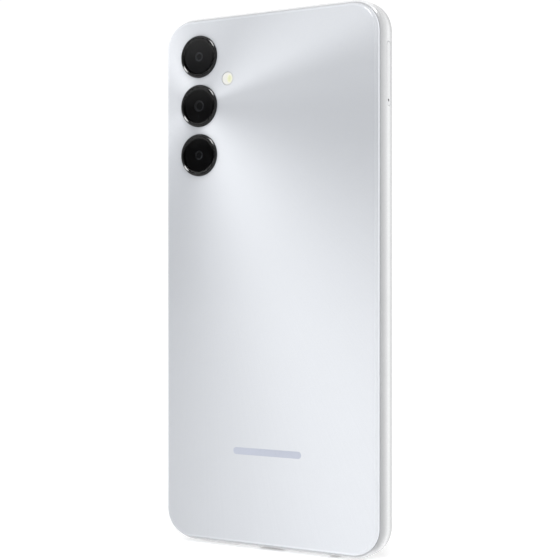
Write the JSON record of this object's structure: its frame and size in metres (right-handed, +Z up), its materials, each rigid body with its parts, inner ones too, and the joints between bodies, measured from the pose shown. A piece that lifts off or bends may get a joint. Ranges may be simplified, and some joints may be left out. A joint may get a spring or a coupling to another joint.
{
  "type": "smartphone",
  "caption": "Slim smartphone standing on its bottom edge, with round rear camera rings in a column, a silver back, a white side frame and a drawer for cards.",
  "frame": {"origin": "middle of the bottom edge, on the plane halfway through the body's thickness", "axes": "+Z up the phone to its top edge, +Y out of the back, -Y out of the screen, +X to the side with the keys and the cameras"},
  "size_m": [0.0782, 0.0097, 0.168],
  "materials": {
    "frame_plastic": "glossy white moulded plastic",
    "back_plastic": "glossy cool silver with a soft radial sheen",
    "front_glass": "black-bordered glass",
    "lens_glass": "dark glass",
    "ring_metal": "gloss black anodised",
    "key_plastic": "glossy white moulded plastic",
    "sensor_glass": "satin silver coating",
    "flash_window": "clear over pale yellow",
    "led": "yellow phosphor",
    "lcd": "dark laminated cell",
    "backlight": "white reflector",
    "cast_plate": "cast and bead-blasted",
    "stamped_metal": "stamped sheet",
    "screw_steel": "nickel plated",
    "bronze": "spring bronze",
    "gold_contact": "gold plated",
    "tungsten": "sintered heavy alloy",
    "black_plastic": "black engineering plastic",
    "grey_plastic": "dark grey engineering plastic",
    "camera_black": "black liquid-crystal polymer",
    "circuit_board": "green solder mask",
    "chip_black": "moulded epoxy",
    "flex_orange": "polyimide film",
    "adhesive": "foam adhesive",
    "tape_white": "stretch-release strip",
    "pouch": "dark wrapped foil pouch",
    "mesh": "fine dark woven mesh",
    "membrane": "thin film",
    "coax_black": "fluoropolymer sheath"
  },
  "bodies": {
    "phone": {"side_frame": "frame_plastic", "mid_plate": "cast_plate", "cover_glass": "front_glass", "display_adhesive": "adhesive", "lcd_cell": "lcd", "backlight_unit": "backlight", "display_flex": "flex_orange", "front_camera": "camera_black", "earpiece_grille": "mesh", "receiver_body": "stamped_metal", "light_sensor": "black_plastic", "back_cover": "back_plastic", "back_cover_adhesive": "adhesive", "camera_ring_upper": "ring_metal", "camera_ring_middle": "ring_metal", "camera_ring_lower": "ring_metal", "lens_glass_upper": "lens_glass", "lens_glass_middle": "lens_glass", "lens_glass_lower": "lens_glass", "main_camera_housing": "camera_black", "upper_camera_module": "camera_black", "lower_camera_module": "camera_black", "flash_lens": "flash_window", "flash_led": "led", "main_board": "circuit_board", "main_board_chips": "chip_black", "shield_cans": "stamped_metal", "board_connectors": "grey_plastic", "upper_bracket": "grey_plastic", "sim_socket": "stamped_metal", "battery": "pouch", "battery_adhesive": "tape_white", "battery_flex": "flex_orange", "main_flex": "flex_orange", "coax_cable": "coax_black", "sub_board": "circuit_board", "usb_shell": "stamped_metal", "usb_tongue": "black_plastic", "headphone_jack": "black_plastic", "jack_contacts": "gold_contact", "microphones": "gold_contact", "speaker_box": "black_plastic", "speaker_driver": "stamped_metal", "speaker_mesh": "mesh", "lower_bracket": "grey_plastic", "vibration_can": "stamped_metal", "switch_domes": "bronze", "side_key_flex": "flex_orange", "screws": "screw_steel"},
    "volume_key": {"volume_key": "key_plastic"},
    "power_key": {"power_key": "key_plastic", "fingerprint_sensor": "sensor_glass"},
    "focus_barrel": {"main_camera_barrel": "camera_black"},
    "eject_rod": {"eject_rod": "stamped_metal"},
    "eject_lever": {"eject_lever": "bronze"},
    "eject_slide": {"eject_slide": "stamped_metal"},
    "sim_tray": {"sim_tray": "frame_plastic"},
    "vibration_rotor": {"vibration_rotor": "tungsten"},
    "speaker_cone": {"speaker_diaphragm": "membrane"},
    "receiver_cone": {"receiver_diaphragm": "membrane"}
  },
  "joints": [
    {"name": "volume_rock", "type": "hinge", "parent": "phone", "child": "volume_key", "pos_m": [0.0384, -0.0015, 0.122], "axis": [0, 1, 0], "range_deg": [-1.8, 1.8], "stiffness_Nm_per_rad": 0.4, "deforming": ["switch_domes"]},
    {"name": "power_press", "type": "slide", "parent": "phone", "child": "power_key", "axis": [-1, 0, 0], "range_m": [0, 0.00025], "stiffness_N_per_m": 8000, "deforming": ["switch_domes"]},
    {"name": "focus", "type": "slide", "parent": "phone", "child": "focus_barrel", "axis": [0, 1, 0], "range_m": [0, 0.0003], "stiffness_N_per_m": 100},
    {"name": "rod_push", "type": "slide", "parent": "phone", "child": "eject_rod", "axis": [1, 0, 0], "range_m": [0, 0.0016]},
    {"name": "lever_turn", "type": "hinge", "parent": "phone", "child": "eject_lever", "pos_m": [0.0024, -0.001, 0.14255], "axis": [0, -1, 0], "range_deg": [0, 18]},
    {"name": "slide_push", "type": "slide", "parent": "phone", "child": "eject_slide", "axis": [-1, 0, 0], "range_m": [0, 0.00176]},
    {"name": "tray_pull", "type": "slide", "parent": "eject_slide", "child": "sim_tray", "axis": [-1, 0, 0], "range_m": [0, 0.036]},
    {"name": "motor_spin", "type": "hinge", "parent": "phone", "child": "vibration_rotor", "pos_m": [-0.0304, -0.0003, 0.012], "axis": [0, 1, 0], "continuous": true},
    {"name": "speaker_drive", "type": "slide", "parent": "phone", "child": "speaker_cone", "axis": [0, 1, 0], "range_m": [-0.0003, 0.0003], "stiffness_N_per_m": 200},
    {"name": "receiver_drive", "type": "slide", "parent": "phone", "child": "receiver_cone", "axis": [0, 1, 0], "range_m": [-0.00015, 0.00015], "stiffness_N_per_m": 100}
  ],
  "couplings": [
    {"joint": "lever_turn", "follows": "rod_push", "rad_per_m": 196},
    {"joint": "slide_push", "follows": "rod_push", "ratio": 1.0938}
  ]
}
